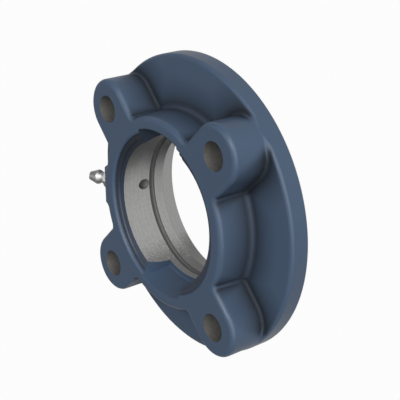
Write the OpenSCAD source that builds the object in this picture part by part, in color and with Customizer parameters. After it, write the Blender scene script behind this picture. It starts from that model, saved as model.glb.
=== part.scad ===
// Round flanged housing for an insert bearing with a spherical outer ring.
// The bore axis is Z, the mounting face is the plane z = 0 and the lobed front
// face looks up. The centring spigot reaches below the mounting face.
// The grease nipple leans out over the left side, along -X.

/* [Flange] */
// Diameter of the round flange
flange_d = 125; // [118:0.5:140]
// Thickness of the flange, from the mounting face to the face between the lobes
flange_t = 8; // [6:0.25:10]
// Radius of the flange's rounded front edge
rim_edge_r = 1.5; // [0.5:0.25:2.5]
// Diameter of the centring spigot behind the flange
spigot_d = 80; // [74:0.5:86]
// Height of the spigot below the mounting face
spigot_h = 8; // [4:0.5:12]
// Chamfer on the spigot's end
spigot_chamfer = 0.8; // [0.3:0.1:1.5]
// Chamfer on the flange's back edge
back_chamfer = 0.3; // [0.1:0.1:1]

/* [Hub and lobes] */
// Height of the front face above the mounting face
front_h = 23.2; // [22.2:0.2:28]
// Diameter of the hub at the front face
hub_d = 79.6; // [77:0.2:84]
// Draft of the hub's wall, in degrees
hub_draft = 3; // [0:0.5:5]
// Diameter of the circle through the bolt holes
bolt_circle_d = 100; // [98:0.5:110]
// Diameter of each bolt hole
bolt_hole_d = 11.5; // [9:0.5:14]
// Width of each lobe, and the diameter of its round end
lobe_w = 24.8; // [20:0.2:28]
// Radius of the rounded edges round the front face
front_edge_r = 2; // [1:0.25:2.5]
// Radius of the fillet where a lobe meets the flange
lobe_foot_r = 1.5; // [0.5:0.25:2.5]
// Radius of the fillet where the hub meets the flange
hub_foot_r = 2.25; // [0.5:0.25:3]

/* [Bearing seat] */
// Diameter of the bearing's spherical outer ring
seat_d = 62; // [60:0.5:63]
// Height of the sphere's centre above the mounting face
seat_z = 10; // [9:0.25:11]
// Distance from the sphere's centre forward to the seat's front edge
seat_front = 10.2; // [8:0.1:10.5]
// Distance from the sphere's centre back to the seat's rear edge
seat_rear = 9.75; // [7.5:0.25:12]
// Diameter of the bore at the spigot's end
rear_bore_d = 66.8; // [62:0.2:68]
// Step out behind the seat's rear edge
rear_step = 0.35; // [0.1:0.05:0.6]
// Width of the grease groove in the seat
groove_w = 2.5; // [1.5:0.25:3.5]
// Distance from the sphere's centre back to the middle of the groove
groove_back = 5; // [4.5:0.25:6]
// Depth of the grease groove below the seat
groove_depth = 1.5; // [0.5:0.25:2]

/* [Mouth and filling slots] */
// Diameter of the recess round the mouth of the bore, and over the floors of the slots
mouth_d = 66.8; // [65.8:0.1:68]
// Depth of the recess below the front face
mouth_depth = 1.5; // [1:0.1:2]
// Radius of the rounded edge between the recess or a slot and the front face
mouth_edge_r = 1.2; // [0.2:0.1:1.3]
// Diameter inside the rounded lip between the recess and the seat
lip_d = 62.2; // [61:0.2:63]
// Radius of the rounded lip
lip_r = 0.9; // [0.3:0.1:1]
// Width of the two filling slots
slot_w = 23.8; // [20:0.2:26]
// Distance from the sphere's centre back to the slots' end wall
slot_back = 0.7; // [0.5:0.1:2]

/* [Grease nipple] */
// Lean of the nipple and its oil hole, forward from the flange's plane
nipple_lean = 29; // [27:1:33]
// Height above the mounting face at which the oil hole meets the seat
oil_hole_z = 9; // [8.6:0.1:9.6]
// Diameter of the oil hole
oil_hole_d = 4.6; // [3:0.2:5.4]
// Diameter of the nipple's thread
nipple_thread_d = 6; // [5.75:0.25:7]
// Length of the nipple's threaded end
nipple_thread_l = 5.5; // [4.5:0.25:7]
// Distance along the oil hole from the seat to the boss's outer face
boss_reach = 15.25; // [14:0.25:16]
// Width of the boss on the hub's side
boss_w = 17; // [14:0.5:20]
// Radius of the boss's rounded top edge, just below the front face
boss_edge_r = 1; // [0.5:0.25:1.5]
// Width of the nipple's hexagon across its flats
hex_w = 7; // [6.8:0.1:9]
// Height of the hexagon
hex_h = 3; // [2:0.25:3.5]
// Diameter of the nipple's neck
neck_d = 4.8; // [4.4:0.1:5]
// Height of the tip above the boss's outer face
nipple_h = 10.75; // [10:0.25:12]
// Largest diameter of the nipple's head
head_d = 6.5; // [6:0.1:7]
// Height of the head's cone
head_cone_h = 3.6; // [3.2:0.1:4]
// Diameter of the head at its tip
tip_d = 3.7; // [3.4:0.1:4.2]
// Diameter of the check ball
ball_d = 2.4; // [2:0.1:2.6]
// Diameter of the wire of the ball's spring
wire_d = 0.4; // [0.25:0.05:0.5]
// Number of turns of the ball's spring
spring_turns = 9; // [6:1:11]

/* [Hidden] */
$fn = 96;

lobe_count = 4;
lobe_turn = 45;
edge_steps = 7;
over = 1;

flange_r = flange_d / 2;
spigot_r = spigot_d / 2;
hub_r = hub_d / 2;
lobe_r = lobe_w / 2;
bolt_circle_r = bolt_circle_d / 2;
seat_r = seat_d / 2;
mouth_r = mouth_d / 2;

// A lobe's straight run starts inside the space that the bore takes away
lobe_start = seat_r * 0.8;

// Radius of the seat at a distance from the sphere's centre, along the bore
function seat_r_at(d) = sqrt(seat_r * seat_r - d * d);

// Points of an arc round c, from angle a0 to angle a1
function arc(c, r, a0, a1, n = edge_steps) =
    [for (i = [0 : n]) c + r * [cos(a0 + (a1 - a0) * i / n), sin(a0 + (a1 - a0) * i / n)]];

// How far the boss's top stays below the front face
boss_drop = 0.4;

// Where the oil hole meets the seat, and the running fits of the nipple's pieces
oil_hole_r = seat_r_at(oil_hole_z - seat_z);
thread_fit = 0.03;
ball_fit = 0.03;
chamber_fit = 0.2;
spring_fit = 0.05;

// Small lengths of the nipple: thread's lead-in, hexagon's crown, head's band, underside and tip
lead_in = 0.5;
crown_land = 0.15;
head_band_h = 0.6;
head_under_h = 1.6;
tip_edge = 0.15;

// Inside of the nipple, from its crimped end to the mouth in its tip
crimp_h = 0.6;
mouth_land = 0.2;
mouth_flare = 0.4;
chamber_r = ball_d / 2 + chamber_fit;
mouth_hole_r = ball_d * 0.375;
mouth_z = nipple_h - mouth_land - mouth_flare;
ball_z = mouth_z - sqrt(ball_d * ball_d / 4 - mouth_hole_r * mouth_hole_r) - ball_fit;
chamber_top = mouth_z - (chamber_r - mouth_hole_r);
spring_low = crimp_h - nipple_thread_l + spring_fit;
spring_high = ball_z - ball_d / 2 - spring_fit;

cast_paint = [0.25, 0.31, 0.40];
nickel = [0.78, 0.78, 0.76];
steel = [0.62, 0.63, 0.65];

// Flange, spigot and hub: one turned profile round the bore axis
module turned_body() {
    foot = hub_foot_r;
    top = front_edge_r;
    lean = tan(hub_draft);
    // distance from a drafted corner to where its rounding starts
    top_run = top * tan((90 - hub_draft) / 2);
    foot_run = foot * tan((90 - hub_draft) / 2);
    foot_wall_r = hub_r + lean * (front_h - flange_t);
    rotate_extrude()
        polygon(concat(
            [[0, -spigot_h], [spigot_r - spigot_chamfer, -spigot_h], [spigot_r, spigot_chamfer - spigot_h],
             [spigot_r, 0], [flange_r - back_chamfer, 0], [flange_r, back_chamfer]],
            arc([flange_r - rim_edge_r, flange_t - rim_edge_r], rim_edge_r, 0, 90),
            arc([foot_wall_r + foot_run, flange_t + foot], foot, 270, 180 + hub_draft),
            arc([hub_r - top_run, front_h - top], top, hub_draft, 90),
            [[0, front_h]]));
}

// The other half of a symmetric outline, in reverse order and without its middle points
function mirrored(half) = [for (i = [len(half) - 1 : -1 : 0]) if (half[i][0] > 0) [-half[i][0], half[i][1]]];

// Half of a lobe's cross-section, from its middle line out
function lobe_half(foot_z) = concat(
    [[0, foot_z], [lobe_r, foot_z]],
    arc([lobe_r - front_edge_r, front_h - front_edge_r], front_edge_r, 0, 90),
    [[0, front_h]]);

// Fillet at the foot of a lobe, as half of a cross-section
function lobe_foot_half() = concat(
    [[0, flange_t - over], [lobe_r + lobe_foot_r, flange_t - over]],
    arc([lobe_r + lobe_foot_r, flange_t + lobe_foot_r], lobe_foot_r, 270, 180),
    [[0, flange_t + lobe_foot_r]]);

// One section, run out to the bolt hole and turned round the hole's axis
module run_and_turn(half) {
    translate([bolt_circle_r, 0, 0])
        rotate([0, 0, -90])
            rotate_extrude(angle = 180)
                polygon(half);
    translate([lobe_start, 0, 0])
        rotate([90, 0, 90])
            linear_extrude(bolt_circle_r - lobe_start)
                polygon(concat(half, mirrored(half)));
}

// The foot fillet stops where the flange's rim rounds off
module rim_limit() {
    rise = lobe_foot_r + 2 * over;
    translate([0, 0, flange_t - rim_edge_r])
        cylinder(h = rise, r1 = flange_r, r2 = flange_r - rise);
}

module lobe() {
    run_and_turn(lobe_half(flange_t - rim_edge_r));
    intersection() {
        run_and_turn(lobe_foot_half());
        rim_limit();
    }
}

// Places children along the oil hole: z runs out from the seat to the nipple
module along_oil_hole() {
    translate([-oil_hole_r, 0, oil_hole_z])
        rotate([0, nipple_lean - 90, 0])
            children();
}

// Pad on the hub's side whose outer face stands square to the oil hole
module nipple_boss() {
    top_z = front_h - boss_drop;
    foot_z = flange_t - over;
    // the outer face's distance from the bore axis at a height
    function face_r(z) = oil_hole_r + (boss_reach - (z - oil_hole_z) * sin(nipple_lean)) / cos(nipple_lean);
    // distance from the corner of the face and the top to where the rounding starts
    run = boss_edge_r * tan((90 - nipple_lean) / 2);
    rotate([90, 0, 180])
        linear_extrude(boss_w, center = true)
            polygon(concat(
                [[seat_r + over, foot_z], [face_r(foot_z), foot_z]],
                arc([face_r(top_z) - run, top_z - boss_edge_r], boss_edge_r, nipple_lean, 90),
                [[seat_r + over, top_z]]));
}

// Outline of the rounded edge where the recess or a slot meets the front face
function mouth_edge() = concat(
    arc([mouth_r + mouth_edge_r, front_h - mouth_edge_r], mouth_edge_r, 180, 90, 5),
    [[mouth_r + mouth_edge_r, front_h + over]]);

// Everything that is cut round the bore axis
module bore_cut() {
    seat_front_z = seat_z + seat_front;
    seat_rear_z = seat_z - seat_rear;
    ledge_z = front_h - mouth_depth;
    lip_c = [lip_d / 2 + lip_r, ledge_z - lip_r];
    inner_fillet = mouth_depth / 4;
    // spherical seat
    intersection() {
        translate([0, 0, seat_z])
            sphere(r = seat_r);
        translate([0, 0, seat_rear_z])
            cylinder(h = seat_front + seat_rear, r = seat_r + over);
    }
    // grease groove
    translate([0, 0, seat_z - groove_back - groove_w / 2])
        cylinder(h = groove_w, r = seat_r_at(groove_back) + groove_depth);
    // clearance behind the seat
    rotate_extrude()
        polygon([[0, seat_rear_z + over], [seat_r_at(seat_rear) - over, seat_rear_z + over],
                 [seat_r_at(seat_rear), seat_rear_z],
                 [seat_r_at(seat_rear) + rear_step, seat_rear_z - rear_step],
                 [rear_bore_d / 2, -spigot_h], [rear_bore_d / 2, -spigot_h - over], [0, -spigot_h - over]]);
    // mouth: a rounded lip leads from the seat to a shallow recess
    rotate_extrude()
        polygon(concat(
            [[0, seat_front_z - over], [seat_r_at(seat_front) - over, seat_front_z - over],
             [seat_r_at(seat_front), seat_front_z]],
            arc(lip_c, lip_r, 180, 90),
            arc([mouth_r - inner_fillet, ledge_z + inner_fillet], inner_fillet, 270, 360, 4),
            mouth_edge(),
            [[0, front_h + over]]));
}

// Pocket through which the bearing is slid in edgewise before it is swung level
module filling_slot() {
    end_z = seat_z - slot_back;
    corner_r = 1;
    intersection() {
        rotate_extrude()
            polygon(concat(
                [[seat_r / 2, end_z]],
                arc([mouth_r - corner_r, end_z + corner_r], corner_r, 270, 360, 4),
                mouth_edge(),
                [[seat_r / 2, front_h + over]]));
        translate([-slot_w / 2, 0, end_z - over])
            cube([slot_w, flange_r, front_h + 2 * over]);
    }
}

module oil_hole_cut() {
    tapped_l = nipple_thread_l + 1;
    along_oil_hole() {
        translate([0, 0, -2 * over])
            cylinder(h = boss_reach + 3 * over, d = oil_hole_d);
        translate([0, 0, boss_reach - tapped_l])
            cylinder(h = tapped_l + over, d = nipple_thread_d);
    }
}

// Turned body with its lobes and bolt holes, before it is turned to its place
module cast_body() {
    difference() {
        union() {
            turned_body();
            for (i = [0 : lobe_count - 1])
                rotate([0, 0, i * 360 / lobe_count])
                    lobe();
        }
        for (i = [0 : lobe_count - 1])
            rotate([0, 0, i * 360 / lobe_count])
                translate([bolt_circle_r, 0, -over])
                    cylinder(h = front_h + 2 * over, d = bolt_hole_d);
    }
}

module housing() {
    color(cast_paint)
        difference() {
            union() {
                rotate([0, 0, lobe_turn])
                    cast_body();
                nipple_boss();
            }
            bore_cut();
            for (side = [0, 1])
                rotate([0, 0, 180 * side])
                    filling_slot();
            oil_hole_cut();
        }
}

// Places children on the boss's outer face, with z towards the nipple's tip
module on_boss() {
    along_oil_hole()
        translate([0, 0, boss_reach])
            children();
}

module nipple_passage() {
    crimp_z = crimp_h - nipple_thread_l;
    flare_r = mouth_hole_r + mouth_flare;
    rotate_extrude()
        polygon([[0, -nipple_thread_l - over], [mouth_hole_r, -nipple_thread_l - over],
                 [mouth_hole_r, crimp_z], [chamber_r, crimp_z], [chamber_r, chamber_top],
                 [mouth_hole_r, mouth_z], [mouth_hole_r, mouth_z + mouth_land],
                 [flare_r, nipple_h], [flare_r, nipple_h + over], [0, nipple_h + over]]);
}

module nipple_body() {
    band_top = nipple_h - head_cone_h;
    band_low = band_top - head_band_h;
    neck_top = band_low - head_under_h;
    thread_r = nipple_thread_d / 2 - thread_fit;
    corner_r = hex_w / 2 / cos(30);
    crown_r = hex_w / 2 + crown_land;
    crown_h = (corner_r - crown_r) * tan(30);
    color(nickel)
        on_boss()
            difference() {
                union() {
                    // threaded end
                    rotate_extrude()
                        polygon([[0, -nipple_thread_l], [thread_r - lead_in, -nipple_thread_l],
                                 [thread_r, lead_in - nipple_thread_l], [thread_r, over / 2], [0, over / 2]]);
                    // hexagon with its corners turned down towards the neck
                    intersection() {
                        cylinder(h = hex_h, r = corner_r, $fn = 6);
                        rotate_extrude()
                            polygon([[0, 0], [corner_r, 0], [corner_r, hex_h - crown_h], [crown_r, hex_h],
                                     [0, hex_h]]);
                    }
                    // neck and head
                    rotate_extrude()
                        polygon([[0, hex_h / 2], [neck_d / 2, hex_h / 2], [neck_d / 2, neck_top],
                                 [head_d / 2, band_low], [head_d / 2, band_top],
                                 [tip_d / 2 + tip_edge, nipple_h - tip_edge], [tip_d / 2, nipple_h],
                                 [0, nipple_h]]);
                }
                nipple_passage();
            }
}

module check_ball() {
    color(steel)
        on_boss()
            translate([0, 0, ball_z])
                sphere(d = ball_d);
}

// Coil spring: a round wire swept along a helix
module ball_spring() {
    wire_r = wire_d / 2;
    coil_r = ball_d / 2 - wire_r;
    turn_steps = 16;
    sides = 6;
    steps = spring_turns * turn_steps;
    rise = spring_high - spring_low - wire_d;
    rings = [for (i = [0 : steps]) let (
                 a = i * 360 / turn_steps,
                 z = spring_low + wire_r + rise * i / steps)
             for (j = [0 : sides - 1]) let (
                 b = j * 360 / sides,
                 r = coil_r + wire_r * cos(b))
                 [r * cos(a), r * sin(a), z + wire_r * sin(b)]];
    skin = [for (i = [0 : steps - 1], j = [0 : sides - 1]) let (k = (j + 1) % sides)
                [i * sides + j, i * sides + k, (i + 1) * sides + k, (i + 1) * sides + j]];
    near_end = [for (j = [sides - 1 : -1 : 0]) j];
    far_end = [for (j = [0 : sides - 1]) steps * sides + j];
    color(steel)
        on_boss()
            polyhedron(points = rings, faces = concat(skin, [near_end, far_end]), convexity = 10);
}

housing();
nipple_body();
check_ball();
ball_spring();
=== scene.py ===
import math
import bpy
import numpy as np
from mathutils import Matrix, Vector


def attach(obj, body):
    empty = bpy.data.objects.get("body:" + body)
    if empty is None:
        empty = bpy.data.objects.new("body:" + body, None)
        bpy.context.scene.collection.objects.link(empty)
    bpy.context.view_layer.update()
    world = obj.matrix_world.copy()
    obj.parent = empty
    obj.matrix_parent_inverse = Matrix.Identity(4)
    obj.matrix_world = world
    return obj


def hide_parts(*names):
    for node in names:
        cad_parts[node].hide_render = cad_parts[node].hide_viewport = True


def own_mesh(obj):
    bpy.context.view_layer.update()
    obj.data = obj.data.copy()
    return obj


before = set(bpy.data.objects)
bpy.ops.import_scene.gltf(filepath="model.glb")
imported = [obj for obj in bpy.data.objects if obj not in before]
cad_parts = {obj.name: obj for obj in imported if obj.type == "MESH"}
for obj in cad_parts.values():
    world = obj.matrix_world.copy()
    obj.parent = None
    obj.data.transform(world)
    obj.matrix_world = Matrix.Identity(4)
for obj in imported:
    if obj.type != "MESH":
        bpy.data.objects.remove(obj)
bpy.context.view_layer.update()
collection = bpy.context.scene.collection
mm = 0.001
print("frame loaded")

# Camera: stands where the photo was taken from
camera = {
    "place": (0.29413, 0.157246, 0.2265),
    "right": (0.606835, -0.001215, -0.794827),
    "up": (-0.308243, 0.921378, -0.236746),
    "lens": 87.86,
    "sensor": 36,
    "nearest": 0.01,
}
camData = bpy.data.cameras.new("camera")
camData.lens = camera["lens"]
camData.sensor_width = camera["sensor"]
camData.clip_start = camera["nearest"]
camObject = bpy.data.objects.new("camera", camData)
collection.objects.link(camObject)
right = Vector(camera["right"]).normalized()
up = Vector(camera["up"]).normalized()
back = right.cross(up)
camObject.matrix_world = Matrix((
    (right.x, up.x, back.x, camera["place"][0]),
    (right.y, up.y, back.y, camera["place"][1]),
    (right.z, up.z, back.z, camera["place"][2]),
    (0, 0, 0, 1)))
bpy.context.scene.camera = camObject


# Materials
def newMaterial(name):
    mat = bpy.data.materials.new(name)
    mat.use_nodes = True
    mat.node_tree.nodes.clear()
    return mat, mat.node_tree.nodes, mat.node_tree.links


def addNode(nodes, kind, **inputs):
    node = nodes.new(kind)
    for key, value in inputs.items():
        node.inputs[key.replace("_", " ")].default_value = value
    return node


def mathNode(nodes, links, operation, *values):
    node = nodes.new("ShaderNodeMath")
    node.operation = operation
    for socket, value in zip(node.inputs, values):
        if isinstance(value, bpy.types.NodeSocket):
            links.new(value, socket)
        else:
            socket.default_value = value
    return node.outputs["Value"]


def scaledColour(nodes, links, colour, share):
    tint = nodes.new("ShaderNodeVectorMath")
    tint.operation = "SCALE"
    links.new(colour, tint.inputs[0])
    links.new(share, tint.inputs["Scale"])
    return tint.outputs["Vector"]


def seenDirectly(nodes, links, glossyShare):
    # 1 for what the camera sees, glossyShare for what a metal mirrors, 0 for what only lights the object
    path = nodes.new("ShaderNodeLightPath").outputs
    glossy = mathNode(nodes, links, "MULTIPLY", path["Is Glossy Ray"], glossyShare)
    seen = mathNode(nodes, links, "MAXIMUM", path["Is Camera Ray"], glossy)
    return mathNode(nodes, links, "MAXIMUM", seen, path["Is Transmission Ray"])


paint = {
    "name": "castPaint",
    "colour": (0.045, 0.072, 0.118, 1),
    "lighter": (0.051, 0.079, 0.127, 1),
    "roughness": 0.34,
    "patch": 45,
    "skin": 900,
    "skinDepth": 0.00008,
    "skinStrength": 0.5,
    # painted shade in the hollows: how far the paint darkens, and how much duller it gets, where the walls
    # close in
    "hollowFrom": 0.08,
    "hollowFull": 1.0,
    "paintedHollowShade": 0.14,
    "hollowRoughness": 0.8,
    "gloss": 0.35,
}

# paint of the machined mouth and of the slots: the mouth's is a darker copy of the cast paint, painted shade
# in its recess, and both darken towards the top slot as painted shade
mouthPaint = dict(paint, name="machinedMouthShaded", colour=(0.026, 0.036, 0.056, 1),
                  lighter=(0.032, 0.043, 0.066, 1), topShadeFrom=-0.005, topShadeTo=0.026, topShadeDark=0.4)
slotPaint = dict(paint, name="slotPaint", topShadeFrom=0.018, topShadeTo=0.030, topShadeDark=0.35)
# noise for the uneven edge of the painted top shade, and for the dark specks
shadeEdgeAndSpecks = {"edgeSize": 130.0, "edgeReach": 0.006, "speckSize": 1300.0, "speckReach": 0.012}


def paintedTopShade(nodes, links, coords, values):
    # 1 lower down, the darker level higher up: painted shade that darkens the face towards the top, with an
    #                                           uneven edge
    split = nodes.new("ShaderNodeSeparateXYZ")
    links.new(coords.outputs["Object"], split.inputs["Vector"])
    height = split.outputs["Y"]
    wander = addNode(nodes, "ShaderNodeTexNoise", Scale=shadeEdgeAndSpecks["edgeSize"], Detail=3.0, Roughness=0.6)
    links.new(coords.outputs["Object"], wander.inputs["Vector"])
    topShadeRamp = addNode(nodes, "ShaderNodeMapRange", From_Min=values["topShadeFrom"], From_Max=values["topShadeTo"],
                   To_Min=1.0, To_Max=values["topShadeDark"])
    topShadeRamp.interpolation_type = "SMOOTHSTEP"
    place = mathNode(nodes, links, "MULTIPLY_ADD", wander.outputs["Fac"], shadeEdgeAndSpecks["edgeReach"], height)
    links.new(place, topShadeRamp.inputs["Value"])
    if "speckShade" not in values:
        return topShadeRamp.outputs["Result"]
    # dark specks where the turned face ends at the lower slot
    speck = addNode(nodes, "ShaderNodeTexNoise", Scale=shadeEdgeAndSpecks["speckSize"], Detail=2.0, Roughness=0.6)
    links.new(coords.outputs["Object"], speck.inputs["Vector"])
    low = addNode(nodes, "ShaderNodeMapRange", From_Min=values["speckFrom"], From_Max=values["speckTo"],
                  To_Min=1.0, To_Max=values["speckShade"])
    place = mathNode(nodes, links, "MULTIPLY_ADD", speck.outputs["Fac"], shadeEdgeAndSpecks["speckReach"], height)
    links.new(place, low.inputs["Value"])
    return mathNode(nodes, links, "MULTIPLY", topShadeRamp.outputs["Result"], low.outputs["Result"])


def paintMaterial(values):
    mat, nodes, links = newMaterial(values["name"])
    out = nodes.new("ShaderNodeOutputMaterial")
    shader = addNode(nodes, "ShaderNodeBsdfPrincipled", Roughness=values["roughness"],
                     Specular_IOR_Level=values["gloss"])
    coords = nodes.new("ShaderNodeTexCoord")
    patch = addNode(nodes, "ShaderNodeTexNoise", Scale=values["patch"], Detail=4.0, Roughness=0.6)
    mix = nodes.new("ShaderNodeMix")
    mix.data_type = "RGBA"
    mix.inputs["A"].default_value = values["colour"]
    mix.inputs["B"].default_value = values["lighter"]
    skin = addNode(nodes, "ShaderNodeTexNoise", Scale=values["skin"], Detail=3.0, Roughness=0.55)
    bump = addNode(nodes, "ShaderNodeBump", Strength=values["skinStrength"], Distance=values["skinDepth"])
    links.new(coords.outputs["Object"], patch.inputs["Vector"])
    links.new(coords.outputs["Object"], skin.inputs["Vector"])
    links.new(patch.outputs["Fac"], mix.inputs["Factor"])
    # darker in the hollows, a painted shade where the walls close in, and duller there too
    hollow = nodes.new("ShaderNodeAttribute")
    hollow.attribute_name = "hollow"
    depth = addNode(nodes, "ShaderNodeMapRange", From_Min=values["hollowFrom"], From_Max=values["hollowFull"],
                    To_Min=1.0, To_Max=values["paintedHollowShade"])
    links.new(hollow.outputs["Fac"], depth.inputs["Value"])
    shade = depth.outputs["Result"]
    # painted shade towards the top, where the values ask for it
    if "topShadeDark" in values:
        shade = mathNode(nodes, links, "MULTIPLY", shade, paintedTopShade(nodes, links, coords, values))
    dull = addNode(nodes, "ShaderNodeMapRange", From_Min=0.0, From_Max=values["hollowFull"],
                   To_Min=values["roughness"], To_Max=values["hollowRoughness"])
    links.new(hollow.outputs["Fac"], dull.inputs["Value"])
    links.new(dull.outputs["Result"], shader.inputs["Roughness"])
    links.new(scaledColour(nodes, links, mix.outputs["Result"], shade), shader.inputs["Base Color"])
    links.new(skin.outputs["Fac"], bump.inputs["Height"])
    links.new(bump.outputs["Normal"], shader.inputs["Normal"])
    links.new(shader.outputs["BSDF"], out.inputs["Surface"])
    return mat


# the turned seat darkens towards the top: a painted shadow where the mouth's rim shades it
seatMetal = {"name": "machinedSeat", "colour": (0.48, 0.48, 0.475, 1), "dark": (0.32, 0.32, 0.315, 1),
             "metallic": 0.35, "roughness": 0.4, "rings": 2000, "axis": "Z", "depth": 0.00002,
             "topShadeFrom": 0.004, "topShadeTo": 0.023, "topShadeDark": 0.2,
             "speckFrom": -0.0175, "speckTo": -0.0225, "speckShade": 0.5}
backMetal = {"name": "machinedBack", "colour": (0.36, 0.36, 0.35, 1), "dark": (0.28, 0.28, 0.27, 1),
             "metallic": 0.8, "roughness": 0.4, "rings": 1800, "axis": "R", "depth": 0.00003}
# the rear bore darkens towards the top as well: painted shade
rearMetal = {"name": "boredRear", "colour": (0.60, 0.60, 0.595, 1), "dark": (0.48, 0.48, 0.475, 1),
             "metallic": 0.9, "roughness": 0.35, "rings": 2000, "axis": "Z", "depth": 0.00002,
             "topShadeFrom": 0.008, "topShadeTo": 0.030, "topShadeDark": 0.6,
             "speckFrom": -0.0165, "speckTo": -0.0215, "speckShade": 0.4}
holeMetal = {"name": "drilledHole", "colour": (0.165, 0.161, 0.15, 1), "dark": (0.10, 0.098, 0.091, 1),
             "metallic": 0.4, "roughness": 0.5, "rings": 1500, "axis": "Z", "depth": 0.00003}
grooveMetal = {"name": "grooveWall", "colour": (0.15, 0.15, 0.148, 1), "dark": (0.11, 0.11, 0.108, 1),
               "metallic": 0.2, "roughness": 0.6, "rings": 2600, "axis": "Z", "depth": 0.00002}
nipplePlating = {"name": "nipplePlating", "colour": (0.52, 0.52, 0.51, 1), "dark": (0.38, 0.38, 0.38, 1),
                 "metallic": 1.0, "roughness": 0.45, "rings": 3000, "axis": "Z", "depth": 0.00001}
ballSteel = {"name": "ballSteel", "colour": (0.62, 0.63, 0.65, 1), "dark": (0.58, 0.59, 0.61, 1),
             "metallic": 1.0, "roughness": 0.15, "rings": 3000, "axis": "Z", "depth": 0.000005}
springSteel = {"name": "springSteel", "colour": (0.45, 0.46, 0.48, 1), "dark": (0.35, 0.36, 0.38, 1),
               "metallic": 1.0, "roughness": 0.3, "rings": 3000, "axis": "Z", "depth": 0.000005}
# turning marks and grain, the same on every metal
grain = {"size": 900.0, "ringShare": 0.6, "toneFrom": 0.36, "toneTo": 0.64, "bump": 0.4}


def metalMaterial(values):
    mat, nodes, links = newMaterial(values["name"])
    out = nodes.new("ShaderNodeOutputMaterial")
    shader = addNode(nodes, "ShaderNodeBsdfPrincipled", Metallic=values["metallic"],
                     Roughness=values["roughness"])
    coords = nodes.new("ShaderNodeTexCoord")
    split = nodes.new("ShaderNodeSeparateXYZ")
    links.new(coords.outputs["Object"], split.inputs["Vector"])
    ringInput = nodes.new("ShaderNodeCombineXYZ")
    if values["axis"] == "Z":
        links.new(split.outputs["Z"], ringInput.inputs["X"])
    else:
        flat = nodes.new("ShaderNodeCombineXYZ")
        links.new(split.outputs["X"], flat.inputs["X"])
        links.new(split.outputs["Y"], flat.inputs["Y"])
        reach = nodes.new("ShaderNodeVectorMath")
        reach.operation = "LENGTH"
        links.new(flat.outputs["Vector"], reach.inputs[0])
        links.new(reach.outputs["Value"], ringInput.inputs["X"])
    rings = addNode(nodes, "ShaderNodeTexNoise", Scale=values["rings"], Detail=2.0, Roughness=0.7)
    links.new(ringInput.outputs["Vector"], rings.inputs["Vector"])
    fine = addNode(nodes, "ShaderNodeTexNoise", Scale=grain["size"], Detail=4.0, Roughness=0.65)
    links.new(coords.outputs["Object"], fine.inputs["Vector"])
    finePart = mathNode(nodes, links, "MULTIPLY", fine.outputs["Fac"], 1 - grain["ringShare"])
    marks = mathNode(nodes, links, "MULTIPLY_ADD", rings.outputs["Fac"], grain["ringShare"], finePart)
    mix = nodes.new("ShaderNodeMix")
    mix.data_type = "RGBA"
    mix.inputs["A"].default_value = values["dark"]
    mix.inputs["B"].default_value = values["colour"]
    tone = addNode(nodes, "ShaderNodeMapRange", From_Min=grain["toneFrom"], From_Max=grain["toneTo"])
    links.new(marks, tone.inputs["Value"])
    links.new(tone.outputs["Result"], mix.inputs["Factor"])
    colour = mix.outputs["Result"]
    # painted shade towards the top, and the dark specks, where the values ask for them
    if "topShadeDark" in values:
        colour = scaledColour(nodes, links, colour, paintedTopShade(nodes, links, coords, values))
    links.new(colour, shader.inputs["Base Color"])
    bump = addNode(nodes, "ShaderNodeBump", Strength=grain["bump"], Distance=values["depth"])
    links.new(marks, bump.inputs["Height"])
    links.new(bump.outputs["Normal"], shader.inputs["Normal"])
    links.new(shader.outputs["BSDF"], out.inputs["Surface"])
    return mat


castPaint = paintMaterial(paint)
mouthMaterial = paintMaterial(mouthPaint)
slotMaterial = paintMaterial(slotPaint)
seatMaterial = metalMaterial(seatMetal)
backMaterial = metalMaterial(backMetal)
rearMaterial = metalMaterial(rearMetal)
holeMaterial = metalMaterial(holeMetal)
grooveMaterial = metalMaterial(grooveMetal)
nippleMaterial = metalMaterial(nipplePlating)
ballMaterial = metalMaterial(ballSteel)
springMaterial = metalMaterial(springSteel)
print("materials made")

# Housing: the raw casting as a distance field, in millimetres, then machined by cutters
casting = {
    "flangeR": 62.5, "flangeT": 8.0, "rimEdge": 1.5, "backChamfer": 0.3,
    "spigotR": 40.0, "spigotH": 8.0, "spigotChamfer": 0.8, "spigotRoot": 2.0,
    "frontH": 23.2, "hubR": 39.8, "draft": 3.0, "boltR": 50.0, "lobeR": 12.4,
    "frontEdge": 2.0, "lobeFoot": 1.5, "hubFoot": 2.25, "footBlend": 2.0, "corner": 1.2,
    "padHalf": 8.5, "padDrop": 0.4, "padEdge": 1.0, "padFoot": 1.2,
    "lean": 29.0, "oilZ": 9.0, "reach": 15.25,
    "allowance": 1.0, "grid": 0.6, "margin": 1.5, "under": 1.2, "uneven": 0.045, "unevenSize": 6.5, "seed": 4,
    "sharpAngle": 26.0, "fitAngle": 32.0, "nearSkin": 0.03,
}
machining = {
    "seatR": 31.0, "seatZ": 10.0, "seatFront": 10.2, "seatRear": 9.75, "seatEdge": 0.25,
    "rearR": 33.4, "rearStep": 0.35, "rearEdge": 0.5,
    "grooveW": 2.5, "grooveBack": 5.0, "grooveDepth": 1.5, "grooveEdge": 0.12, "grooveCorner": 0.4,
    "mouthR": 33.4, "mouthDepth": 1.5, "mouthEdge": 1.2, "lipR": 31.1, "lipEdge": 0.9, "mouthFillet": 0.375,
    "slotHalf": 11.9, "slotFlare": 0.06, "slotBack": 0.7, "slotCorner": 1.0, "slotLean": 6.5, "slotEdge": 0.3,
    "boltHoleR": 5.75, "oilHoleR": 2.3, "tappedR": 3.0, "tappedL": 6.5,
    "steps": 192, "holeSteps": 96, "oilSteps": 48, "slotColumns": 33,
}
# the oil hole opens in the seat, and the boss and the nipple stand on its axis
casting["oilR"] = round(math.sqrt(machining["seatR"] ** 2 - (casting["oilZ"] - machining["seatZ"]) ** 2), 3)
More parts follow.
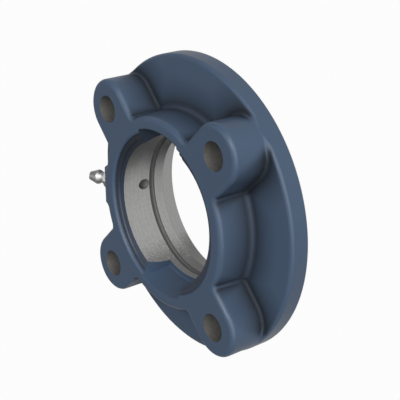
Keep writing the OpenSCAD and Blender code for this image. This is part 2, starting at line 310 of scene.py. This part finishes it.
# where each cutter ends, well past what it cuts
runOut = {
    "boreLow": -20.0, "boreHigh": 40.0, "rear": 0.01, "backLow": -25.0, "backHigh": 20.0, "backOut": 90.0,
    "rim": 1.5, "slotInner": 15.0, "slotHigh": 35.0, "side": 2.0, "lift": 0.3,
    "boltLow": -12.0, "boltHigh": 30.0, "oilLow": -4.0, "oilPast": 3.0,
}


def roundJoin(a, b, r):
    return np.maximum(r, np.minimum(a, b)) - np.hypot(np.maximum(r - a, 0), np.maximum(r - b, 0))


def roundMeet(a, b, r):
    return np.minimum(-r, np.maximum(a, b)) + np.hypot(np.maximum(r + a, 0), np.maximum(r + b, 0))


class Unevenness:
    def __init__(self, size, seed, count=28):
        self.size = size
        self.count = count
        self.lattice = np.random.default_rng(seed).random((count, count, count)).astype(np.float32)

    def at(self, x, y, z):
        result = 0
        cells, shares = [], []
        for value in (x, y, z):
            place = value / self.size + self.count / 2
            cell = np.floor(place).astype(np.int32)
            share = place - cell
            cells.append(cell)
            shares.append(share * share * (3 - 2 * share))
        for corner in range(8):
            weight = 1
            index = []
            for axis in range(3):
                step = corner >> axis & 1
                index.append((cells[axis] + step) % self.count)
                weight = weight * (shares[axis] if step else 1 - shares[axis])
            result = result + weight * self.lattice[index[0], index[1], index[2]]
        return result


unevenness = Unevenness(casting["unevenSize"], casting["seed"])


def castShape(x, y, z):
    c = casting
    lean = math.radians(c["draft"])
    r = np.hypot(x, y)
    hub = (r - c["hubR"] - math.tan(lean) * (c["frontH"] - z)) * math.cos(lean)
    # the four lobes lie on the diagonals, so one quadrant stands for all
    u = (np.abs(x) + np.abs(y)) * math.sqrt(0.5)
    v = (np.abs(x) - np.abs(y)) * math.sqrt(0.5)
    lobe = np.hypot(u - np.clip(u, 0, c["boltR"]), v) - c["lobeR"]
    raised = roundMeet(roundJoin(lobe, hub, c["corner"]), z - c["frontH"], c["frontEdge"])
    disc = roundMeet(r - c["flangeR"], z - c["flangeT"], c["rimEdge"])
    hubShare = np.clip((lobe - hub) / c["footBlend"] + 0.5, 0, 1)
    body = roundJoin(raised, disc, c["lobeFoot"] + (c["hubFoot"] - c["lobeFoot"]) * hubShare)
    lean = math.radians(c["lean"])
    facePlace = c["oilR"] * math.cos(lean) + c["oilZ"] * math.sin(lean) + c["reach"]
    face = z * math.sin(lean) - x * math.cos(lean) - facePlace
    pad = roundMeet(face, z - c["frontH"] + c["padDrop"], c["padEdge"])
    pad = roundMeet(pad, np.abs(y) - c["padHalf"], c["padEdge"])
    body = roundJoin(body, np.maximum(pad, x + c["oilR"]), c["padFoot"])
    body = np.maximum(np.maximum(body, z - c["frontH"]), np.maximum(-c["allowance"] - z, r - c["flangeR"]))
    spigot = np.maximum(-c["spigotH"] - c["allowance"] - z, z - c["spigotRoot"])
    spigot = np.maximum(r - c["spigotR"] - c["allowance"], spigot)
    return np.minimum(body, spigot) + c["uneven"] * unevenness.at(x, y, z)


def gradient(shape, p, step=0.02):
    result = np.empty_like(p)
    for axis in range(3):
        move = np.zeros(3)
        move[axis] = step
        result[:, axis] = (shape(*(p + move).T) - shape(*(p - move).T)) / (2 * step)
    return result


def surfaceNet(shape, low, high, step, rounds=3, leastSlope=0.05):
    # one vertex in each grid cell that the surface crosses, one quad across each crossed grid edge
    axes = [np.arange(low[i], high[i] + step, step) for i in range(3)]
    field = shape(*np.meshgrid(*axes, indexing="ij"))
    inside = field < 0
    cells = [n - 1 for n in field.shape]
    total = np.zeros(cells + [3])
    count = np.zeros(cells)

    def corner(offset):
        return tuple(slice(o, o + n) for o, n in zip(offset, cells))

    for axis in range(3):
        for first in (0, 1):
            for second in (0, 1):
                near = [0, 0, 0]
                near[(axis + 1) % 3] = first
                near[(axis + 2) % 3] = second
                far = list(near)
                far[axis] = 1
                a, b = field[corner(near)], field[corner(far)]
                crossed = inside[corner(near)] != inside[corner(far)]
                share = np.where(crossed, a / np.where(crossed, a - b, 1), 0)
                for i in range(3):
                    total[..., i] += crossed * (share if i == axis else near[i])
                count += crossed
    used = count > 0
    number = np.full(cells, -1)
    number[used] = np.arange(used.sum())
    points = total[used] / count[used][:, None] + np.argwhere(used)
    points = points * step + np.array([a[0] for a in axes])
    quads = []
    for axis in range(3):
        b, c = (axis + 1) % 3, (axis + 2) % 3
        start = [slice(1, n) for n in cells]
        start[axis] = slice(0, cells[axis])
        end = list(start)
        end[axis] = slice(1, cells[axis] + 1)
        here, there = inside[tuple(start)], inside[tuple(end)]
        crossed = np.argwhere(here != there)
        crossed[:, b] += 1
        crossed[:, c] += 1
        ring = []
        for stepB, stepC in ((-1, -1), (0, -1), (0, 0), (-1, 0)):
            cell = crossed.copy()
            cell[:, b] += stepB
            cell[:, c] += stepC
            ring.append(number[cell[:, 0], cell[:, 1], cell[:, 2]])
        ring = np.array(ring).T
        outward = inside[crossed[:, 0], crossed[:, 1], crossed[:, 2]]
        ring[~outward] = ring[~outward][:, ::-1]
        quads.append(ring)
    for _ in range(rounds):
        slope = gradient(shape, points)
        size = np.maximum((slope ** 2).sum(axis=1), leastSlope)
        points -= slope * np.clip(shape(*points.T) / size, -step, step)[:, None]
    return points, np.vstack(quads)


def meshObject(name, points, faces, mats=(), faceMats=None):
    mesh = bpy.data.meshes.new(name)
    mesh.from_pydata([tuple(p) for p in np.asarray(points) * mm], [], [tuple(f) for f in faces])
    for mat in mats:
        mesh.materials.append(mat)
    if faceMats is not None:
        mesh.polygons.foreach_set("material_index", faceMats)
    obj = bpy.data.objects.new(name, mesh)
    collection.objects.link(obj)
    return obj


def arc(cx, cz, r, start, end, count=8):
    angles = np.radians(np.linspace(start, end, count + 1))
    return [(cx + r * math.cos(a), cz + r * math.sin(a)) for a in angles]


def latheCutter(name, outline, steps, touching=1e-6):
    # outline: (material, points) runs from the axis at the bottom round to the axis at the top
    mats = []
    rows = []
    rowMats = []
    for mat, points in outline:
        if mat not in mats:
            mats.append(mat)
        for point in points:
            if rows and math.dist(point, rows[-1]) < touching:
                continue
            rows.append(point)
            rowMats.append(mats.index(mat))
    angles = np.arange(steps) * 2 * math.pi / steps
    points, faces, faceMats = [(0, 0, rows[0][1])], [], []
    for r, z in rows[1:-1]:
        points += [(r * math.cos(a), r * math.sin(a), z) for a in angles]
    points.append((0, 0, rows[-1][1]))
    last = len(points) - 1
    for i in range(steps):
        j = (i + 1) % steps
        faces.append((0, 1 + j, 1 + i))
        faceMats.append(rowMats[1])
        for row in range(len(rows) - 3):
            base = 1 + row * steps
            faces.append((base + i, base + j, base + steps + j, base + steps + i))
            faceMats.append(rowMats[row + 2])
        base = 1 + (len(rows) - 3) * steps
        faces.append((base + i, base + j, last))
        faceMats.append(rowMats[-1])
    return meshObject(name, points, faces, mats, faceMats)


def seatRadius(z):
    return math.sqrt(machining["seatR"] ** 2 - (z - machining["seatZ"]) ** 2)


def seatArc(low, high, count):
    return [(seatRadius(z), z) for z in np.linspace(low, high, count + 1)]


def boreCutter():
    m, c = machining, casting
    rear, front = m["seatZ"] - m["seatRear"], m["seatZ"] + m["seatFront"]
    grooveLow = m["seatZ"] - m["grooveBack"] - m["grooveW"] / 2
    grooveHigh = grooveLow + m["grooveW"]
    grooveR = seatRadius(m["seatZ"] - m["grooveBack"]) + m["grooveDepth"]
    edge, corner = m["grooveEdge"], m["grooveCorner"]
    ledge = c["frontH"] - m["mouthDepth"]
    # the unevenness of the casting lowers its front face a little
    top = c["frontH"] - c["uneven"]
    rearOut = m["rearR"] + m["rearEdge"]
    mouthOut = m["mouthR"] + m["mouthEdge"] + runOut["side"]
    fillet = m["mouthFillet"]
    outline = [
        (backMaterial, [(0, runOut["boreLow"]), (rearOut, runOut["boreLow"]),
                        (rearOut, -c["spigotH"] - runOut["rear"]),
                        (m["rearR"], -c["spigotH"] + m["rearEdge"])]),
        (rearMaterial, [(seatRadius(rear) + m["rearStep"], rear - m["rearStep"])]),
        (seatMaterial, [(seatRadius(rear), rear)]),
        (seatMaterial, seatArc(rear, grooveLow - edge, count=8)),
        (seatMaterial, [(seatRadius(grooveLow) + edge, grooveLow)]),
        (grooveMaterial, [(grooveR - corner, grooveLow), (grooveR, grooveLow + corner),
                          (grooveR, grooveHigh - corner), (grooveR - corner, grooveHigh),
                          (seatRadius(grooveHigh) + edge, grooveHigh)]),
        (seatMaterial, seatArc(grooveHigh + edge, front - m["seatEdge"], count=28)),
        (seatMaterial, [(seatRadius(front) + m["seatEdge"] / 3, front)]),
        (mouthMaterial, [(m["lipR"], ledge - m["lipEdge"])]),
        (mouthMaterial, arc(m["lipR"] + m["lipEdge"], ledge - m["lipEdge"], m["lipEdge"], 180, 90)),
        (mouthMaterial, arc(m["mouthR"] - fillet, ledge + fillet, fillet, 270, 360, count=5)),
        (castPaint, arc(m["mouthR"] + m["mouthEdge"], top - m["mouthEdge"], m["mouthEdge"], 180, 90)),
        (castPaint, [(mouthOut, top + runOut["lift"]), (mouthOut, runOut["boreHigh"]),
                     (0, runOut["boreHigh"])]),
    ]
    return latheCutter("boreCutter", outline, m["steps"])


def backCutter():
    m, c = machining, casting
    outline = [(backMaterial, [
        (0, runOut["backLow"]), (runOut["backOut"], runOut["backLow"]),
        (runOut["backOut"], runOut["backHigh"]),
        (c["flangeR"] + runOut["rim"], runOut["rim"] + c["backChamfer"]),
        (c["flangeR"] - c["backChamfer"], 0), (c["spigotR"], 0),
        (c["spigotR"], c["spigotChamfer"] - c["spigotH"]),
        (c["spigotR"] - c["spigotChamfer"], -c["spigotH"]), (0, -c["spigotH"])])]
    return latheCutter("backCutter", outline, m["steps"])


def slotCutter(side):
    m, c = machining, casting
    low = m["seatZ"] - m["slotBack"]
    top = c["frontH"] - c["uneven"]
    lean = math.tan(math.radians(m["slotLean"]))
    edge, high, inner = m["slotEdge"], runOut["slotHigh"], runOut["slotInner"]
    floorTop = m["mouthR"] + lean * (top - edge - low - m["slotCorner"])
    floorOut = floorTop + edge + runOut["side"]
    outer = (arc(m["mouthR"] - m["slotCorner"], low + m["slotCorner"], m["slotCorner"], 270, 360, count=6)
             + arc(floorTop + edge, top - edge, edge, 180 - m["slotLean"], 90, count=4)
             + [(floorOut, top + runOut["lift"]), (floorOut, high)])
    outline = [(inner, low)] + outer + [(inner, high)]
    loop = len(outline)
    columns = np.linspace(-1, 1, m["slotColumns"])
    points, faces = [], []
    for share in columns:
        for number, (r, z) in enumerate(outline):
            x = share * (m["slotHalf"] + m["slotFlare"] * (z - low))
            onFloor = 0 < number < loop - 1
            points.append((side * x, side * (math.sqrt(r * r - x * x) if onFloor else r), z))
    for i in range(len(columns) - 1):
        for j in range(loop):
            k = (j + 1) % loop
            faces.append((i * loop + j, i * loop + k, (i + 1) * loop + k, (i + 1) * loop + j))
    faces.append(tuple(range(loop))[::-1])
    faces.append(tuple((len(columns) - 1) * loop + j for j in range(loop)))
    return meshObject("slotCutter", points, faces, [slotMaterial])


def pinCutter(name, mat, start, axis, outline, steps):
    # outline: radii and distances along the axis from the start
    axis = Vector(axis).normalized()
    turn = axis.to_track_quat("Z", "X").to_matrix()
    obj = latheCutter(name, [(mat, outline)], steps)
    place = turn.to_4x4()
    place.translation = Vector(start) * mm
    obj.data.transform(place)
    return obj


def outwardVolume(mesh):
    # in cubic millimetres, less than 0 where the faces point inwards
    mesh.calc_loop_triangles()
    points = np.array([v.co for v in mesh.vertices])
    tri = np.array([t.vertices for t in mesh.loop_triangles])
    a, b, c = points[tri[:, 0]], points[tri[:, 1]], points[tri[:, 2]]
    return float(np.einsum("ij,ij->i", a, np.cross(b, c)).sum() / 6) / mm ** 3


side = casting["flangeR"] + casting["margin"]
bottom = -casting["spigotH"] - casting["allowance"] - casting["under"]
top = casting["frontH"] + casting["margin"]
points, quads = surfaceNet(castShape, (-side, -side, bottom), (side, side, top), casting["grid"])
housing = meshObject("castHousing", points, quads, [castPaint])
print("casting", len(points), "points", outwardVolume(housing.data), "mm3")

lean = math.radians(casting["lean"])
holeReach = casting["boltR"] * math.sqrt(0.5)
cutters = [backCutter(), boreCutter(), slotCutter(1), slotCutter(-1)]
for sx in (1, -1):
    for sy in (1, -1):
        outline = [(0, runOut["boltLow"]), (machining["boltHoleR"], runOut["boltLow"]),
                   (machining["boltHoleR"], runOut["boltHigh"]), (0, runOut["boltHigh"])]
        cutters.append(pinCutter("boltCutter", holeMaterial, (sx * holeReach, sy * holeReach, 0), (0, 0, 1),
                                 outline, machining["holeSteps"]))
tapFrom = casting["reach"] - machining["tappedL"]
tapTo = casting["reach"] + runOut["oilPast"]
outline = [(0, runOut["oilLow"]), (machining["oilHoleR"], runOut["oilLow"]), (machining["oilHoleR"], tapFrom),
           (machining["tappedR"], tapFrom), (machining["tappedR"], tapTo), (0, tapTo)]
cutters.append(pinCutter("oilCutter", grooveMaterial, (-casting["oilR"], 0, casting["oilZ"]),
                         (-math.cos(lean), 0, math.sin(lean)), outline, machining["oilSteps"]))
for cutter in cutters:
    if outwardVolume(cutter.data) < 0:
        cutter.data.flip_normals()
    cut = housing.modifiers.new("cut", "BOOLEAN")
    cut.operation = "DIFFERENCE"
    cut.solver = "MANIFOLD"
    cut.material_mode = "TRANSFER"
    cut.object = cutter
depsgraph = bpy.context.evaluated_depsgraph_get()
mesh = bpy.data.meshes.new_from_object(housing.evaluated_get(depsgraph))
mesh.name = "castHousing"
housing.modifiers.clear()
housing.data = mesh
for cutter in cutters:
    bpy.data.objects.remove(cutter)
print("machined", len(mesh.polygons), "faces", outwardVolume(mesh), "mm3", [m.name for m in mesh.materials])

# Housing's shading: how far its walls close in on each place of the cast skin, which darkens the paint there
# as painted shade
hollows = {"reaches": (2.5, 4.0, 6.0, 9.0, 13.0, 18.0), "corner": 0.29, "cutDepth": 0.12}


def readFloats(owner, field, items):
    values = np.empty(len(items) * 3, np.float32)
    owner.foreach_get(field, values)
    return values.reshape(-1, 3)


def onCasting(mesh, leastSlope=1e-6):
    # each point of the mesh, the cast shape's slope there and how far it lies from the cast skin
    points = readFloats(mesh.vertices, "co", mesh.vertices).astype(np.float64) / mm
    slope = gradient(castShape, points)
    slope /= np.maximum(np.linalg.norm(slope, axis=1), leastSlope)[:, None]
    return points, slope, castShape(*points.T)


def markHollows(mesh, points, slope, depth):
    hollow = np.zeros(len(points))
    for reach in hollows["reaches"]:
        closed = (1 - castShape(*(points + slope * reach).T) / reach) / hollows["corner"]
        hollow += np.clip(closed, 0, 1) / len(hollows["reaches"])
    hollow[depth < -hollows["cutDepth"]] = 0
    attribute = mesh.attributes.new("hollow", "FLOAT", "POINT")
    attribute.data.foreach_set("value", hollow.astype(np.float32))
    print("hollows", [round(float(v), 3) for v in np.percentile(hollow, (5, 50, 90, 99))])


def shadeCasting(mesh, slope, depth):
    # cast faces take their normals from the shape's own slope, the machined ones from their faces
    mesh.shade_smooth()
    mesh.set_sharp_from_angle(angle=math.radians(casting["sharpAngle"]))
    near = np.abs(depth) < casting["nearSkin"]
    loopVertex = np.empty(len(mesh.loops), np.int32)
    mesh.loops.foreach_get("vertex_index", loopVertex)
    normals = readFloats(mesh.corner_normals, "vector", mesh.loops)
    faceNormals = readFloats(mesh.polygons, "normal", mesh.polygons)
    loops = np.empty(len(mesh.polygons), np.int32)
    mesh.polygons.foreach_get("loop_total", loops)
    ofLoop = np.repeat(faceNormals, loops, axis=0)
    turn = (slope[loopVertex] * ofLoop).sum(axis=1)
    fits = near[loopVertex] & (turn > math.cos(math.radians(casting["fitAngle"])))
    normals[fits] = slope[loopVertex][fits]
    mesh.normals_split_custom_set([tuple(n) for n in normals])


points, slope, depth = onCasting(mesh)
shadeCasting(mesh, slope, depth)
markHollows(mesh, points, slope, depth)
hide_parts("housing")
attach(housing, "housing")
print("housing made")

# Grease nipple, in millimetres above the boss's outer face
nipple = {
    "hexW": 7.0, "hexH": 3.0, "crown": 0.15, "crownAngle": 30.0, "foot": 0.3,
    "neckR": 2.4, "neckFillet": 0.5, "neckTop": 4.85,
    "headR": 3.31, "headZ": 6.75, "height": 10.75, "tipR": 1.85, "tipRound": 0.3, "blend": 0.4,
    "threadR": 2.97, "threadL": 5.5, "leadIn": 0.6, "pitch": 1.0, "threadDepth": 0.5,
    "holeR": 0.9, "flare": 0.4, "land": 0.2, "chamberR": 1.4, "crimp": 0.6, "threadTop": -0.2,
    "steps": 144, "threadSteps": 8, "crownSteps": 6, "neckSteps": 43, "sharpAngle": 26.0,
}


def softMin(a, b, k):
    reach = max(k - abs(a - b), 0) / k
    return min(a, b) - reach * reach * k / 4


def nippleRows(n):
    # each row: radius, height, True where the hexagon's flats limit the radius
    rows = []
    for z in np.arange(-n["threadL"], n["threadTop"], n["pitch"] / n["threadSteps"]):
        rows.append((min(n["threadR"], n["threadR"] - n["leadIn"] + z + n["threadL"]), z, False))
    corner = n["hexW"] / 2 / math.cos(math.radians(30))
    rows.append((n["threadR"] - n["threadDepth"], 0, False))
    rows.append((corner - n["foot"], 0, True))
    rows.append((corner, n["foot"] / 2, True))
    crownR = n["hexW"] / 2 + n["crown"]
    crownH = (corner - crownR) * math.tan(math.radians(n["crownAngle"]))
    for share in np.linspace(0, 1, n["crownSteps"] + 1):
        rows.append((corner + (crownR - corner) * share, n["hexH"] - crownH * (1 - share), True))
    fillet = n["neckFillet"]
    neckFoot = arc(n["neckR"] + fillet, n["hexH"] + fillet, fillet, 270, 180, count=5)
    rows += [(r, z, False) for r, z in neckFoot]
    tipCone = (n["headR"] - n["tipR"]) / (n["height"] - n["headZ"])
    underCone = (n["headR"] - n["neckR"]) / (n["headZ"] - n["neckTop"])
    for z in np.linspace(n["hexH"] + 2 * fillet, n["height"] - n["tipRound"], n["neckSteps"] + 1):
        under = -softMin(-n["neckR"], -(n["neckR"] + (z - n["neckTop"]) * underCone), n["blend"] / 2)
        cone = n["headR"] - (z - n["headZ"]) * tipCone
        rows.append((softMin(under, cone, n["blend"]), z, False))
    tip = arc(n["tipR"] - n["tipRound"] / 2, n["height"] - n["tipRound"], n["tipRound"], 30, 90, count=4)
    rows += [(r, z, False) for r, z in tip]
    seatTop = n["height"] - n["flare"]
    chamberTop = seatTop - n["land"] - n["chamberR"] + n["holeR"]
    crimpTop = n["crimp"] - n["threadL"]
    rows += [(n["holeR"] + n["flare"], n["height"], False), (n["holeR"], seatTop, False),
             (n["holeR"], seatTop - n["land"], False), (n["chamberR"], chamberTop, False),
             (n["chamberR"], crimpTop, False), (n["holeR"], crimpTop, False),
             (n["holeR"], -n["threadL"], False)]
    return rows


def toBoss(mesh):
    # from above the boss's outer face, along +Z, to its real place on the leaning boss
    lean = math.radians(casting["lean"])
    out = Vector((-math.cos(lean), 0, math.sin(lean)))
    side = Vector((math.sin(lean), 0, math.cos(lean)))
    face = (Vector((-casting["oilR"], 0, casting["oilZ"])) + out * casting["reach"]) * mm
    mesh.transform(Matrix((
        (side.x, 0, out.x, face.x),
        (side.y, 1, out.y, face.y),
        (side.z, 0, out.z, face.z),
        (0, 0, 0, 1))))
    return out, face


def nipplePiece(n):
    rows = nippleRows(n)
    steps = n["steps"]
    points, faces = [], []
    for r, z, onHex in rows:
        for i in range(steps):
            a = 2 * math.pi * i / steps
            here = r
            if onHex:
                here = min(r, n["hexW"] / 2 / math.cos(a % (math.pi / 3) - math.pi / 6))
            elif z < n["threadTop"] and r > n["chamberR"]:
                turn = abs((z / n["pitch"] - i / steps) % 1 - 0.5) * 2
                here = r - n["threadDepth"] * turn
            points.append((here * math.cos(a), here * math.sin(a), z))
    for row in range(len(rows)):
        low, high = row * steps, (row + 1) % len(rows) * steps
        for i in range(steps):
            j = (i + 1) % steps
            faces.append((low + i, low + j, high + j, high + i))
    obj = meshObject("greaseNipple", points, faces, [nippleMaterial])
    toBoss(obj.data)
    obj.data.shade_smooth()
    obj.data.set_sharp_from_angle(angle=math.radians(n["sharpAngle"]))
    return obj


greaseNipple = nipplePiece(nipple)
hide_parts("nipple_body")
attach(greaseNipple, "housing")
print("nipple made", outwardVolume(greaseNipple.data), "mm3")

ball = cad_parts["check_ball"]
ball.data.materials.clear()
ball.data.materials.append(ballMaterial)
print("ball painted")

# Ball's spring: a wire along a coil with closed end turns, in millimetres above the boss's outer face
spring = {
    "low": -4.85, "high": 8.076, "coilR": 1.0, "wireR": 0.2, "turns": 9.0, "closedTurns": 1.0,
    "turnPoints": 32, "wireSides": 10, "travel": 0.8, "sharpAngle": 50.0,
}


def springTree(values):
    tree = bpy.data.node_groups.new("coilSpring", "GeometryNodeTree")
    tree.interface.new_socket("Geometry", in_out="OUTPUT", socket_type="NodeSocketGeometry")
    for name in ("Length", "Coil Radius", "Wire Radius", "Turns", "Closed Turns"):
        tree.interface.new_socket(name, in_out="INPUT", socket_type="NodeSocketFloat")
    nodes, links = tree.nodes, tree.links
    given = nodes.new("NodeGroupInput").outputs
    result = nodes.new("NodeGroupOutput")
    coil = nodes.new("GeometryNodeCurveSpiral")
    coil.inputs["Resolution"].default_value = values["turnPoints"]
    coil.inputs["Height"].default_value = 0.0
    links.new(given["Turns"], coil.inputs["Rotations"])
    links.new(given["Coil Radius"], coil.inputs["Start Radius"])
    links.new(given["Coil Radius"], coil.inputs["End Radius"])
    # height along the wire: every turn rises by the wire's own thickness, the open turns share the rest
    along = nodes.new("GeometryNodeSplineParameter").outputs["Factor"]
    wireD = mathNode(nodes, links, "MULTIPLY", given["Wire Radius"], 2.0)
    rise = mathNode(nodes, links, "SUBTRACT", given["Length"], wireD)
    closed = mathNode(nodes, links, "MULTIPLY", wireD, given["Turns"])
    opened = mathNode(nodes, links, "SUBTRACT", rise, closed)
    start = mathNode(nodes, links, "DIVIDE", given["Closed Turns"], given["Turns"])
    stretch = nodes.new("ShaderNodeMapRange")
    links.new(along, stretch.inputs["Value"])
    links.new(start, stretch.inputs["From Min"])
    links.new(mathNode(nodes, links, "SUBTRACT", 1.0, start), stretch.inputs["From Max"])
    height = mathNode(nodes, links, "MULTIPLY_ADD", stretch.outputs["Result"], opened,
                      mathNode(nodes, links, "MULTIPLY_ADD", along, closed, given["Wire Radius"]))
    lift = nodes.new("ShaderNodeCombineXYZ")
    links.new(height, lift.inputs["Z"])
    place = nodes.new("GeometryNodeSetPosition")
    links.new(coil.outputs["Curve"], place.inputs["Geometry"])
    links.new(lift.outputs["Vector"], place.inputs["Offset"])
    wire = nodes.new("GeometryNodeCurvePrimitiveCircle")
    wire.inputs["Resolution"].default_value = values["wireSides"]
    links.new(given["Wire Radius"], wire.inputs["Radius"])
    skin = nodes.new("GeometryNodeCurveToMesh")
    skin.inputs["Fill Caps"].default_value = True
    links.new(place.outputs["Geometry"], skin.inputs["Curve"])
    links.new(wire.outputs["Curve"], skin.inputs["Profile Curve"])
    real = nodes.new("GeometryNodeRealizeInstances")
    finish = nodes.new("GeometryNodeSetMaterial")
    finish.inputs["Material"].default_value = springMaterial
    links.new(skin.outputs["Mesh"], real.inputs["Geometry"])
    links.new(real.outputs["Geometry"], finish.inputs["Geometry"])
    links.new(finish.outputs["Geometry"], result.inputs["Geometry"])
    return tree


def springPiece(values):
    obj = bpy.data.objects.new("ballSpring", bpy.data.meshes.new("ballSpring"))
    collection.objects.link(obj)
    modifier = obj.modifiers.new("coil", "NODES")
    modifier.node_group = springTree(values)
    sizes = {
        "Length": (values["high"] - values["low"]) * mm,
        "Coil Radius": values["coilR"] * mm,
        "Wire Radius": values["wireR"] * mm,
        "Turns": values["turns"],
        "Closed Turns": values["closedTurns"],
    }
    for item in modifier.node_group.interface.items_tree:
        if item.item_type == "SOCKET" and item.in_out == "INPUT":
            modifier[item.identifier] = sizes[item.name]
    made = bpy.data.meshes.new_from_object(obj.evaluated_get(bpy.context.evaluated_depsgraph_get()))
    obj.modifiers.remove(modifier)
    obj.data = made
    made.transform(Matrix.Translation((0, 0, values["low"] * mm)))
    out, face = toBoss(made)
    if outwardVolume(made) < 0:
        made.flip_normals()
    made.shade_smooth()
    made.set_sharp_from_angle(angle=math.radians(values["sharpAngle"]))
    return obj, out, face + out * values["low"] * mm


ballSpring, springAxis, springFoot = springPiece(spring)
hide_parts("ball_spring")
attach(ballSpring, "housing")
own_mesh(ballSpring)
print("spring made", len(ballSpring.data.polygons), "faces", outwardVolume(ballSpring.data), "mm3")

# Floor: white to the eye, with a faint shadow
floor = {"z": -0.00803, "half": 3.0, "colour": (0.22, 0.22, 0.22, 1), "shade": 0.03, "glossy": 0.5}
mesh = bpy.data.meshes.new("floor")
h = floor["half"]
corners = [(-h, -h, floor["z"]), (h, -h, floor["z"]), (h, h, floor["z"]), (-h, h, floor["z"])]
mesh.from_pydata(corners, [], [(0, 1, 2, 3)])
floorObject = bpy.data.objects.new("floor", mesh)
collection.objects.link(floorObject)
mat, nodes, links = newMaterial("paleFloor")
out = nodes.new("ShaderNodeOutputMaterial")
diffuse = addNode(nodes, "ShaderNodeBsdfDiffuse", Color=floor["colour"])
white = addNode(nodes, "ShaderNodeEmission", Color=(1, 1, 1, 1), Strength=1.0)
seen = seenDirectly(nodes, links, floor["glossy"])
mixShader = nodes.new("ShaderNodeMixShader")
links.new(mathNode(nodes, links, "MULTIPLY", seen, 1 - floor["shade"]), mixShader.inputs["Fac"])
links.new(diffuse.outputs["BSDF"], mixShader.inputs[1])
links.new(white.outputs["Emission"], mixShader.inputs[2])
links.new(mixShader.outputs["Shader"], out.inputs["Surface"])
floorObject.data.materials.append(mat)

# Light
lamps = {
    "front": {"place": (-0.3, 0.15, 0.9), "size": 0.5, "power": 1.2},
    "key": {"place": (0.35, 0.5, 0.78), "size": 0.16, "power": 2.8},
}
for name, values in lamps.items():
    data = bpy.data.lights.new(name, "AREA")
    data.shape = "DISK"
    data.size = values["size"]
    data.energy = values["power"]
    lamp = bpy.data.objects.new(name, data)
    collection.objects.link(lamp)
    lamp.location = values["place"]
    lamp.rotation_euler = (-Vector(values["place"])).to_track_quat("-Z", "Y").to_euler()

# Sky: soft light that falls off downwards and to the left, white to the eye
sky = {"towards": (0.88, 0.46, 0.2), "low": 0.05, "high": 3.9, "from": 0.45, "to": 1.0, "glossy": 0.2}
world = bpy.data.worlds.new("world")
bpy.context.scene.world = world
world.use_nodes = True
nodes, links = world.node_tree.nodes, world.node_tree.links
nodes.clear()
out = nodes.new("ShaderNodeOutputWorld")
coords = nodes.new("ShaderNodeTexCoord")
towards = nodes.new("ShaderNodeVectorMath")
towards.operation = "DOT_PRODUCT"
towards.inputs[1].default_value = Vector(sky["towards"]).normalized()
fall = addNode(nodes, "ShaderNodeMapRange", From_Min=sky["from"], From_Max=sky["to"],
               To_Min=sky["low"], To_Max=sky["high"])
links.new(coords.outputs["Generated"], towards.inputs[0])
links.new(towards.outputs["Value"], fall.inputs["Value"])
soft = addNode(nodes, "ShaderNodeBackground", Color=(1, 1, 1, 1))
links.new(fall.outputs["Result"], soft.inputs["Strength"])
white = addNode(nodes, "ShaderNodeBackground", Color=(1, 1, 1, 1), Strength=1.0)
mixShader = nodes.new("ShaderNodeMixShader")
links.new(seenDirectly(nodes, links, sky["glossy"]), mixShader.inputs["Fac"])
links.new(soft.outputs["Background"], mixShader.inputs[1])
links.new(white.outputs["Background"], mixShader.inputs[2])
links.new(mixShader.outputs["Shader"], out.inputs["Surface"])
bpy.context.scene.view_settings.view_transform = "Standard"
print("stage set")
